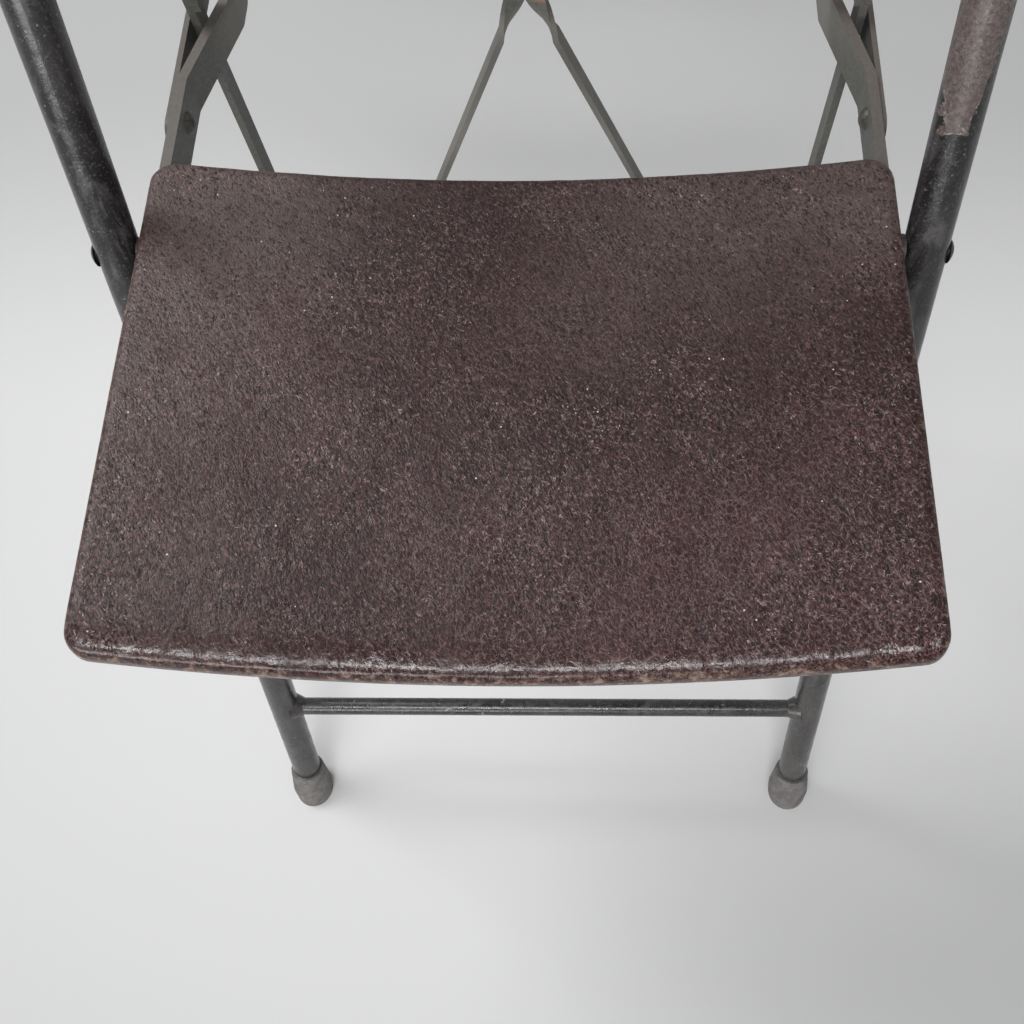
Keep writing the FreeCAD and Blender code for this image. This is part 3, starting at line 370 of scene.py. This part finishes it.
def black_enamel():
    """Old black enamel on steel tube: scuffed grey, pitted, chipped, with one rubbed patch."""
    s = Shader("black_enamel", roughness=0.32, specular=0.5, coat=0.25, coat_roughness=0.25)
    x, z = s.axis("X"), s.axis("Z")
    along = s.stretched(1, 1, 0.35)
    scuffs = s.noise(120, 5, 0.7, 0.5, where=along)
    haze = s.noise(24, 3, 0.6, 0.3, where=along)
    grit = s.noise(900, 3, 0.6)
    base = s.mix(s.fade(haze, 0.35, 0.68), BLACK["deep"], BLACK["hazy"])
    base = s.mix(s.fade(scuffs, 0.48, 0.70, 0, 0.8), base, BLACK["scuff"])
    base = s.mix(s.fade(grit, 0.54, 0.72, 0, 0.7), base, BLACK["grit"])

    patch, lip = rubbed_patch(s, x, z)
    mottled = s.fade(s.noise(620, 4, 0.75, 0.4), 0.36, 0.64)
    bare = s.mix(mottled, BLACK["bare_dark"], BLACK["bare_pale"])
    scratches = s.fade(s.noise(640, 3, 0.6, 1.0), 0.60, 0.70, 0, 0.6)
    bare = s.mix(scratches, bare, BLACK["bare_scratch"])
    bare = s.mix(s.fade(s.noise(46, 4, 0.7, 0.8), 0.50, 0.66, 0, 0.6), bare, BLACK["bare_brown"])
    base = s.mix(patch, base, s.mix(lip, bare, BLACK["lip"]))

    pits = s.fade(s.cells(330, "F1", where=s.warped(200, 0.003)), 0.10, 0.17, 1.0, 0.0)
    pits = s.times(pits, s.fade(s.noise(42, 2), 0.5, 0.6))
    low = s.fade(z, 0.02, 0.30, 1.0, 0.15)
    chips = s.fade(s.noise(260, 3, 0.6, 0.8), 0.66, 0.70)
    chips = s.times(chips, s.times(s.fade(s.noise(30, 2), 0.50, 0.62), low))
    dusty = s.times(s.fade(z, 0.30, 0.02, 0.0, 0.42), s.fade(haze, 0.3, 0.7, 0.5, 1.0))
    dusty = s.times(dusty, s.fade(s.size(x), 0.150, 0.170, 0.1, 1.0))
    base = s.mix(dusty, base, BLACK["dust"])
    base = s.mix(pits, base, BLACK["pit"])
    base = s.mix(chips, base, BLACK["chip"])

    roughness = s.fade(scuffs, 0.40, 0.72, 0.25, 0.46)
    roughness = s.maths("MAXIMUM", roughness, s.times(patch, 0.55))
    s.bump(s.noise(60, 2, 0.5), 0.0012, 0.5)
    s.bump(scuffs, 0.00040, 0.6)
    s.bump(grit, 0.00012, 0.6)
    s.bump(s.maths("ADD", pits, s.maths("ADD", chips, patch)), 0.00030, -0.8)
    return s.done(base, roughness)


RUST_SPOT = (0.007, 0.156, 0.452)
RUST_RADIUS = 0.0075


def olive_enamel():
    """Dull olive-grey enamel on flat bars, rusty at the braces' joint. Upward faces are lighter and browner,
    partly their own brownish tone and partly painted light from above, and the bars inboard of the rails carry
    painted light.
    """
    s = Shader("olive_enamel", roughness=0.55, specular=0.45)
    x, z = s.axis("X"), s.axis("Z")
    brush = s.noise(60, 5, 0.6, 0.4, where=s.stretched(1, 0.4, 0.4))
    base = s.mix(s.fade(brush, 0.2, 0.8), OLIVE["dark"], OLIVE["pale"])
    grit = s.noise(520, 4, 0.7)
    base = s.mix(s.fade(grit, 0.46, 0.66, 0, 0.6), base, OLIVE["grit"])
    base = s.mix(s.fade(grit, 0.34, 0.46, 0.5, 0), base, OLIVE["pore"])
    # Upward faces mix towards a lighter brown: the tops' brownish tone together with painted light from above.
    base = s.mix(s.fade(s.upward(), 0.45, 0.9, 0, 0.55), base, OLIVE["top"])
    base = s.mix(s.fade(s.noise(34, 4, 0.65, 0.5), 0.50, 0.75, 0, 0.25), base, OLIVE["brown"])
    # Painted light: bars inboard of the rails and below the seat rails are mixed towards pale beige, as if lit by
    # the lamp.
    inner = s.times(s.fade(s.size(x), 0.150, 0.159, 1, 0), s.fade(z, 0.432, 0.442, 1, 0))
    base = s.mix(s.times(inner, 0.65), base, OLIVE["inner"])
    spots = s.fade(s.cells(420, "F1"), 0.10, 0.16, 1, 0)
    spots = s.times(spots, s.fade(s.noise(52, 2), 0.58, 0.64))
    base = s.mix(spots, base, OLIVE["spot"])
    rust = s.near(RUST_SPOT, RUST_RADIUS, 0.002)
    rust = s.times(rust, s.fade(s.noise(300, 4, 0.7), 0.42, 0.52))
    base = s.mix(rust, base, OLIVE["rust"])
    s.bump(s.noise(130, 4, 0.6), 0.0004, 0.4)
    s.bump(grit, 0.00014, 0.5)
    return s.done(base, s.fade(brush, 0.3, 0.7, 0.48, 0.64))


def cap_rubber():
    """Dark grey rubber, dusty and scuffed."""
    s = Shader("cap_rubber", roughness=0.8, specular=0.3)
    mottled = s.noise(140, 5, 0.65, 0.3)
    base = s.mix(s.fade(mottled, 0.3, 0.7), RUBBER["dark"], RUBBER["pale"])
    base = s.mix(s.fade(s.noise(420, 3, 0.6, 0.8), 0.62, 0.70, 0, 0.6), base, RUBBER["scuff"])
    base = s.mix(s.fade(s.noise(60, 3, 0.6), 0.6, 0.72, 0, 0.6), base, RUBBER["mark"])
    s.bump(s.noise(500, 3, 0.6), 0.0002, 0.6)
    return s.done(base, s.fade(mottled, 0.3, 0.7, 0.7, 0.9))


def rivet_steel():
    """Darkened steel rivets with remains of paint and a little rust."""
    s = Shader("rivet_steel", roughness=0.45, specular=0.5, metallic=0.55)
    patchy = s.noise(260, 4, 0.65, 0.4)
    base = s.mix(s.fade(patchy, 0.35, 0.65), RIVET["dark"], RIVET["pale"])
    base = s.mix(s.fade(s.noise(480, 3, 0.6), 0.58, 0.70, 0, 0.4), base, RIVET["rust"])
    s.bump(patchy, 0.0003, 0.6)
    return s.done(base, s.fade(patchy, 0.3, 0.7, 0.36, 0.6))


def plywood():
    """Bent plywood seen from below: long grain with darker streaks, and old stains."""
    s = Shader("plywood", roughness=0.6, specular=0.35)
    grain = s.noise(60, 6, 0.7, 1.2, where=s.stretched(0.12, 1, 1))
    fine = s.noise(420, 3, 0.6, where=s.stretched(0.05, 1, 1))
    base = s.mix(s.fade(grain, 0.3, 0.72), WOOD["dark"], WOOD["pale"])
    base = s.mix(s.fade(fine, 0.55, 0.72, 0, 0.5), base, WOOD["streak"])
    base = s.mix(s.fade(s.noise(11, 4, 0.6), 0.55, 0.75, 0, 0.45), base, WOOD["stain"])
    s.bump(fine, 0.0002, 0.5)
    return s.done(base, s.fade(grain, 0.3, 0.7, 0.5, 0.7))


FLOOR_DARKENS = (0.15, 0.55)


def floor_paint():
    """Pale studio floor, painted darker towards the back as painted shade where the light falls off, with faint
    scuffs.
    """
    s = Shader("floor_paint", roughness=0.6, specular=0.2)
    # Painted shade: the floor darkens from near to far along Y.
    base = s.mix(s.fade(s.axis("Y"), *FLOOR_DARKENS), FLOOR["near"], FLOOR["far"])
    base = s.mix(s.fade(s.noise(5, 5, 0.7, 0.4), 0.58, 0.8, 0, 0.10), base, FLOOR["dirt"])
    base = s.mix(s.fade(s.noise(70, 4, 0.7), 0.70, 0.78, 0, 0.10), base, FLOOR["speck"])
    return s.done(base)


# Panels: the covers of the seat and the backrest


def piece_of(name, data):
    """A new object in the scene."""
    piece = bpy.data.objects.new(name, data)
    bpy.context.scene.collection.objects.link(piece)
    return piece


class Panel:
    """A padded panel: an outline in its own plane, with rounded corners and a bowed front edge."""

    def __init__(self, half, low, high, corners, thickness, bow=0.0):
        self.half = half
        self.low = low
        self.high = high
        self.corners = corners
        self.thickness = thickness
        self.bow = bow

    def wadding(self, height):
        """1 on the padded face and 0 on the hidden one, where the hem lies flat on the board."""
        return min(1.0, max(0.0, 0.5 + height / self.thickness))

    def low_edge(self, x):
        return self.low - self.bow * (1 - (x / self.half) ** 2)

    def flat(self, u, v, inset):
        """Place in the outline, drawn in by inset, of a point of the unit square from -1 to 1."""
        half = self.half - inset
        low = self.low + inset
        high = self.high - inset
        radius = (self.corners[0] if v < 0 else self.corners[1]) - inset
        x = u * half
        middle, reach = (low + high) / 2, (high - low) / 2
        y = v * reach
        a = abs(x) - (half - radius)
        b = abs(y) - (reach - radius)
        if a > 0 and b > 0:
            p, q = a / radius, b / radius
            x = math.copysign(half - radius + radius * p * math.sqrt(1 - q * q / 2), x)
            y = math.copysign(reach - radius + radius * q * math.sqrt(1 - p * p / 2), y)
        front = max(0.0, -v) ** 1.5
        y -= self.bow * (1 - (x / self.half) ** 2) * front
        return x, middle + y


def grid_loop(columns, rows):
    """Indices round the border of a grid of vertices, anticlockwise from its low corner."""
    low = [(i, 0) for i in range(columns)]
    right = [(columns, j) for j in range(rows)]
    high = [(i, rows) for i in range(columns, 0, -1)]
    left = [(0, j) for j in range(rows, 0, -1)]
    return low + right + high + left


def eased(count):
    """Steps from -1 to 1 that lie a little closer together at both ends."""
    even = [2 * i / count - 1 for i in range(count + 1)]
    return [math.sin(math.pi / 2 * step) * 0.12 + step * 0.88 for step in even]


HEM = 13 * MM
HEM_RAGGED = 0.9 * MM
HEM_PROUD = 0.5 * MM
RIM_FADE = 12 * MM
RIM_ON_FACE = 0.35
ROLL_STEPS = 9
ROLL_FADE = 13 * MM


class Cover:
    """The cloth of a panel in its own plane: the padded face, the rolled rim and the hem."""

    def __init__(self, panel, columns, rows):
        self.panel = panel
        self.under = -panel.thickness / 2 - HEM_PROUD
        self.inside = -panel.thickness / 2 + HEM_PROUD
        self.places = []
        self.rims = []
        self.faces = []
        self.lay_face(columns, rows)
        self.roll_rim()
        self.turn_hem()
        self.close()

    def add(self, x, y, height, rim):
        self.places.append((x, y, height))
        self.rims.append(rim)
        return len(self.places) - 1

    def lay_face(self, columns, rows):
        """The grid of the padded face, and the directions that lead outward from its border."""
        half = self.panel.thickness / 2
        index = {}
        for i, u in enumerate(eased(columns)):
            for j, v in enumerate(eased(rows)):
                x, y = self.panel.flat(u, v, half)
                edge = min(1 - abs(u), (1 - abs(v)) * 0.7) * self.panel.half
                rim = max(0.0, 1 - edge / RIM_FADE) * RIM_ON_FACE
                index[i, j] = self.add(x, y, half, rim)
        self.faces += [
            (index[i, j], index[i + 1, j], index[i + 1, j + 1], index[i, j + 1])
            for i in range(columns)
            for j in range(rows)
        ]
        self.last = [index[spot] for spot in grid_loop(columns, rows)]
        self.count = len(self.last)
        self.border = [self.places[vertex][:2] for vertex in self.last]
        self.outward = []
        for k in range(self.count):
            ax, ay = self.border[k - 1]
            bx, by = self.border[(k + 1) % self.count]
            dx, dy = bx - ax, by - ay
            size = math.hypot(dx, dy)
            self.outward.append((dy / size, -dx / size))

    def ring(self, outs, height, rim):
        """One more ring of vertices, each moved outward from the border, joined to the last one."""
        ring = [
            self.add(x + dx * out, y + dy * out, height, rim)
            for (x, y), (dx, dy), out in zip(self.border, self.outward, outs)
        ]
        for k in range(self.count):
            after = (k + 1) % self.count
            self.faces.append((self.last[k], ring[k], ring[after], self.last[after]))
        self.last = ring

    def roll_rim(self):
        """The rim rolls from the padded face to the hidden one."""
        half = self.panel.thickness / 2
        for step in range(1, ROLL_STEPS + 1):
            turn = math.pi * step / ROLL_STEPS
            out = half * math.sin(turn) ** 0.8
            level = math.cos(turn)
            height = half * level ** 0.8 if level > 0 else self.under * (-level) ** 0.6
            rim = RIM_ON_FACE + (1 - RIM_ON_FACE) * math.sin(turn)
            self.ring([out] * self.count, height, rim)

    def turn_hem(self):
        """The hem lies on the hidden face and ends in a ragged cut edge."""
        cut = self.under * 0.96 + self.inside * 0.04
        heights = (self.under, self.under, self.under, cut, self.inside)
        for reach, height in zip((0.25, 0.6, 0.95, 1.0, 1.0), heights):
            ragged = [
                noise.noise(Vector((k * 0.13, reach, 3.1))) * HEM_RAGGED for k in range(self.count)
            ]
            self.ring([-(HEM * reach + amount) for amount in ragged], height, 0.2)

    def close(self):
        """The hidden face inside the hem, which the board covers."""
        centre_y = (self.panel.low + self.panel.high) / 2
        centre = self.add(0.0, centre_y, self.inside, 0.0)
        middle = []
        for vertex in self.last:
            x, y, _ = self.places[vertex]
            middle.append(self.add(x * 0.5, (y + centre_y) / 2, self.inside, 0.0))
        for k in range(self.count):
            after = (k + 1) % self.count
            self.faces.append((self.last[k], middle[k], middle[after], self.last[after]))
            self.faces.append((middle[k], centre, middle[after]))

    def rolls(self):
        """How far each vertex lies on the front roll: 0 on the flat, 1 and more at its edge."""
        if not self.panel.bow:
            return [0.0] * len(self.places)
        return [
            max(0.0, 1 - (y - self.panel.low_edge(x)) / ROLL_FADE) ** 0.7
            for x, y, _ in self.places
        ]


def build_panel(name, panel, lift, relief, columns, rows):
    """Mesh of a cover. lift(x, y, height) is a point in the chair, and relief the unevenness there."""
    cover = Cover(panel, columns, rows)
    points = [lift(x, y, height + relief(x, y, height)) for x, y, height in cover.places]
    mesh = bpy.data.meshes.new(name)
    mesh.from_pydata(points, [], cover.faces)
    mesh.update()
    for label, values in (("rim", cover.rims), ("roll", cover.rolls())):
        attribute = mesh.attributes.new(label, "FLOAT", "POINT")
        attribute.data.foreach_set("value", np.array(values, np.float32))
    for polygon in mesh.polygons:
        polygon.use_smooth = True
    return piece_of(name, mesh)


TACK_INSET = 11 * MM
TACK_SPACING = 24 * MM
TACK_RADIUS = 2.6 * MM
TACK_DOME = 0.45
TACK_SIDES = 12
TACK_RINGS = 4
TACK_PROUD = 0.4 * MM


def tack_places(panel):
    """Places of the tacks along the four edges, a little off their lines."""
    half = panel.half - TACK_INSET
    low, high = panel.low + TACK_INSET, panel.high - TACK_INSET
    across = int(2 * half / TACK_SPACING)
    along = int((high - low) / TACK_SPACING)
    places = []
    for i in range(across + 1):
        x = -half * 0.94 + 1.88 * half * i / across
        places += [(x, low), (x, high)]
    for j in range(1, along):
        y = low + (high - low) * j / along
        places += [(-half, y), (half, y)]
    return [
        (
            x + noise.noise(Vector((number * 1.7, 0.3, 0.9))) * 1.6 * MM,
            y + noise.noise(Vector((number * 2.3, 5.3, 0.2))) * 1.2 * MM,
        )
        for number, (x, y) in enumerate(places)
    ]


def tacks(name, panel, lift):
    """Domed tack heads along the hem, on the hidden face."""
    points, faces = [], []
    base = -panel.thickness / 2 - TACK_PROUD
    for x, y in tack_places(panel):
        start = len(points)
        for ring in range(TACK_RINGS):
            angle = math.pi / 2 * ring / TACK_RINGS
            radius = TACK_RADIUS * math.cos(angle)
            height = base - TACK_RADIUS * TACK_DOME * math.sin(angle)
            for k in range(TACK_SIDES):
                turn = math.tau * k / TACK_SIDES
                points.append(lift(x + radius * math.cos(turn), y + radius * math.sin(turn), height))
        top = len(points)
        points.append(lift(x, y, base - TACK_RADIUS * TACK_DOME))
        for ring in range(TACK_RINGS):
            for k in range(TACK_SIDES):
                a = start + ring * TACK_SIDES + k
                b = start + ring * TACK_SIDES + (k + 1) % TACK_SIDES
                if ring < TACK_RINGS - 1:
                    faces.append((a, a + TACK_SIDES, b + TACK_SIDES, b))
                else:
                    faces.append((a, top, b))
        faces.append(tuple(start + k for k in range(TACK_SIDES)))
    mesh = bpy.data.meshes.new(name)
    mesh.from_pydata(points, [], faces)
    mesh.update()
    for polygon in mesh.polygons:
        polygon.use_smooth = len(polygon.vertices) < TACK_SIDES
    return piece_of(name, mesh)


def turned(point, angle, base):
    """A point of a frame that stands at base and leans about X by angle, in the chair."""
    x, y, z = point
    c, s = math.cos(angle), math.sin(angle)
    return base + Vector((x, y * c - z * s, y * s + z * c))


def cloth_noise(across, along, scale, seed, octaves=3):
    return noise.fractal(Vector((across * scale, along * scale, seed)), 1.0, 2.0, octaves)


def unevenness(across, along, soft_scale, soft_height, seed):
    """Slack, lumps and grain of the cloth. All lengths here are in millimetres."""
    soft = cloth_noise(across, along, soft_scale, 2.0 + seed) * soft_height
    lumps = cloth_noise(across, along, 0.10, 7.0 + seed) * 0.13
    grain = cloth_noise(across, along, 0.33, 1.0 + seed, octaves=2) * 0.07
    return soft + lumps + grain


def crown(across, along, height, half, middle, reach):
    """The padding's rise towards the middle of the panel, in millimetres."""
    return height * (1 - (across / half) ** 2) * max(0.0, 1 - ((along - middle) / reach) ** 2)


SEAT = Panel(170 * MM, -195 * MM, 41 * MM, (9.5 * MM, 12.5 * MM), 9.6 * MM, bow=6 * MM)
SEAT_BEND = 1027 * MM
SEAT_UNDERSIDE = -7.7 * MM
ROLL_REACH = 16.8 * MM
ROLL_FALL = 4.5
ROLL_FALL_BELOW = 1.0
GATHER_HEIGHT = 0.45


def seat_lift(x, y, height):
    """The seat's own surface is bent to a circle across its width."""
    radius = SEAT_BEND - SEAT.thickness / 2 - height
    angle = x / SEAT_BEND
    local = (radius * math.sin(angle), y, SEAT_UNDERSIDE + SEAT_BEND - radius * math.cos(angle))
    return turned(local, -SEAT_TILT, SEAT_PIVOT)


def seat_relief(x, y, height):
    """The cloth over its wadding, the small gathers at the front and the fall of the front roll."""
    across, along = x / MM, y / MM
    swell = crown(across, along, 0.9, 170, -77, 118) + unevenness(across, along, 0.018, 0.45, 0.0)
    front = min(1.0, max(0.0, (SEAT.low_edge(x) + ROLL_REACH - y) / ROLL_REACH))
    pulled = noise.fractal(Vector((across * 0.22, along * 0.04, 9.0)), 1.0, 2.0, 3)
    swell += pulled * GATHER_HEIGHT * front
    fall = (ROLL_FALL + (ROLL_FALL_BELOW if height < 0 else 0.0)) * front ** 2.2
    return (swell * SEAT.wadding(height) - fall) * MM


BACK = Panel(159 * MM, 708 * MM, 886 * MM, (26 * MM, 26 * MM), 9.6 * MM)
BACK_BEND = 760 * MM
BACK_FACE_BEND = 773.1 * MM
TUBE_HALF_SPACING = 182 * MM
BACK_CENTRE = -math.sqrt(BACK_FACE_BEND ** 2 - TUBE_HALF_SPACING ** 2)


def back_lift(x, y, height):
    """The backrest stands across the tubes, bent round the sitter, with its padding to the front."""
    radius = BACK_BEND - BACK.thickness / 2 - height
    angle = x / BACK_BEND
    local = (radius * math.sin(angle), BACK_CENTRE + radius * math.cos(angle), y)
    return turned(local, -TUBE_LEAN, TUBE_FOOT)


def back_relief(x, y, height):
    """The cloth over its wadding."""
    across, along = x / MM, (y - BACK.low) / MM
    swell = crown(across, along, 1.1, 159, 89, 92) + unevenness(across, along, 0.02, 0.4, 10.0)
    return swell * BACK.wadding(height) * MM


# Pieces

SEAT_DUST = (
    # place on the seat and radius in millimetres, amount
    ((-150, 25), 75, 0.95),
    ((-165, -60), 45, 0.45),
    ((95, 20), 62, 0.55),
    ((150, 25), 45, 0.75),
    ((-150, -175), 40, 0.35),
    ((40, -30), 34, 0.30),
)
BACK_DUST = (((0.0, 0.13, 0.80), 0.06, 0.4),)


def seat_dust():
    """Dusty, faded places of the seat: its rear corners, a band behind the middle, the left side."""
    return [
        (tuple(seat_lift(x * MM, y * MM, SEAT.thickness / 2)), radius * MM, amount)
        for (x, y), radius, amount in SEAT_DUST
    ]


def dress_cad(materials):
    """Give every CAD node the material of its slot."""
    for part in frame["record"]["subparts"]:
        node = frame["nodes"][part["node"]]
        node.data.materials.clear()
        node.data.materials.append(materials[part["material_slot"]])


def main():
    seat_leather = leatherette("leatherette_seat", seat_dust())
    back_leather = leatherette("leatherette_back", BACK_DUST)
    materials = {
        "black_enamel": black_enamel(),
        "olive_enamel": olive_enamel(),
        "leatherette": seat_leather,
        "plywood": plywood(),
        "cap_rubber": cap_rubber(),
        "rivet_steel": rivet_steel(),
    }
    dress_cad(materials)
    seat = build_panel("seat_leatherette", SEAT, seat_lift, seat_relief, 230, 160)
    seat.data.materials.append(seat_leather)
    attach(seat, "seat")
    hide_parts("seat_cover")
    back = build_panel("backrest_leatherette", BACK, back_lift, back_relief, 200, 110)
    back.data.materials.append(back_leather)
    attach(back, "front_frame")
    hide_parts("backrest_cover")
    for name, panel, lift, body in (
        ("seat_tacks", SEAT, seat_lift, "seat"),
        ("backrest_tacks", BACK, back_lift, "front_frame"),
    ):
        heads = tacks(name, panel, lift)
        heads.data.materials.append(materials["rivet_steel"])
        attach(heads, body)
    stage()
    light()
    camera()


# Stage, light and camera

FLOOR_HALF = 6.0
WORLD_STRENGTH = 0.50
LAMPS = (
    # name, place, target, width and height, watts, spread in degrees
    ("top_box", (-1.25, 0.85, 2.4), (0, 0, 0.3), (1.0, 1.0), 44, 180),
    ("window", (-0.8, -2.1, 0.8), (0, 0, 0.45), (1.8, 0.3), 7.5, 96),
    ("front_strip", (-0.12, -0.95, 1.45), (0, -0.15, 0.45), (0.8, 0.12), 1.3, 50),
)

# The camera was fitted to the photograph, which is PHOTO_SIDE pixels wide and high.
PHOTO_SIDE = 1024
FOCAL_PIXELS = 1107.9
OPTICAL_AXIS = (570.4, 577.0)
SENSOR = 36.0
CAMERA_PLACE = (0.0344, -0.2999, 0.8582)
CAMERA_TURN = (20.21, 1.13, 0.56)


def stage():
    size = FLOOR_HALF
    mesh = bpy.data.meshes.new("floor")
    corners = [(-size, -size, 0), (size, -size, 0), (size, size, 0), (-size, size, 0)]
    mesh.from_pydata(corners, [], [(0, 1, 2, 3)])
    floor = piece_of("floor", mesh)
    floor.data.materials.append(floor_paint())


def light():
    world = bpy.data.worlds.new("studio")
    bpy.context.scene.world = world
    world.use_nodes = True
    background = world.node_tree.nodes["Background"]
    background.inputs["Color"].default_value = (*WORLD, 1)
    background.inputs["Strength"].default_value = WORLD_STRENGTH
    for name, place, target, size, watts, spread in LAMPS:
        data = bpy.data.lights.new(name, "AREA")
        data.shape = "RECTANGLE"
        data.size, data.size_y = size
        data.energy = watts
        data.spread = math.radians(spread)
        lamp = piece_of(name, data)
        lamp.location = place
        aim = Vector(target) - Vector(place)
        lamp.rotation_euler = aim.to_track_quat("-Z", "Y").to_euler()


def camera():
    data = bpy.data.cameras.new("camera")
    data.sensor_width = SENSOR
    data.lens = FOCAL_PIXELS / PHOTO_SIDE * SENSOR
    data.shift_x = (PHOTO_SIDE / 2 - OPTICAL_AXIS[0]) / PHOTO_SIDE
    data.shift_y = (OPTICAL_AXIS[1] - PHOTO_SIDE / 2) / PHOTO_SIDE
    piece = piece_of("camera", data)
    piece.location = CAMERA_PLACE
    piece.rotation_euler = [math.radians(angle) for angle in CAMERA_TURN]
    bpy.context.scene.camera = piece
    bpy.context.scene.view_settings.view_transform = "Standard"


main()
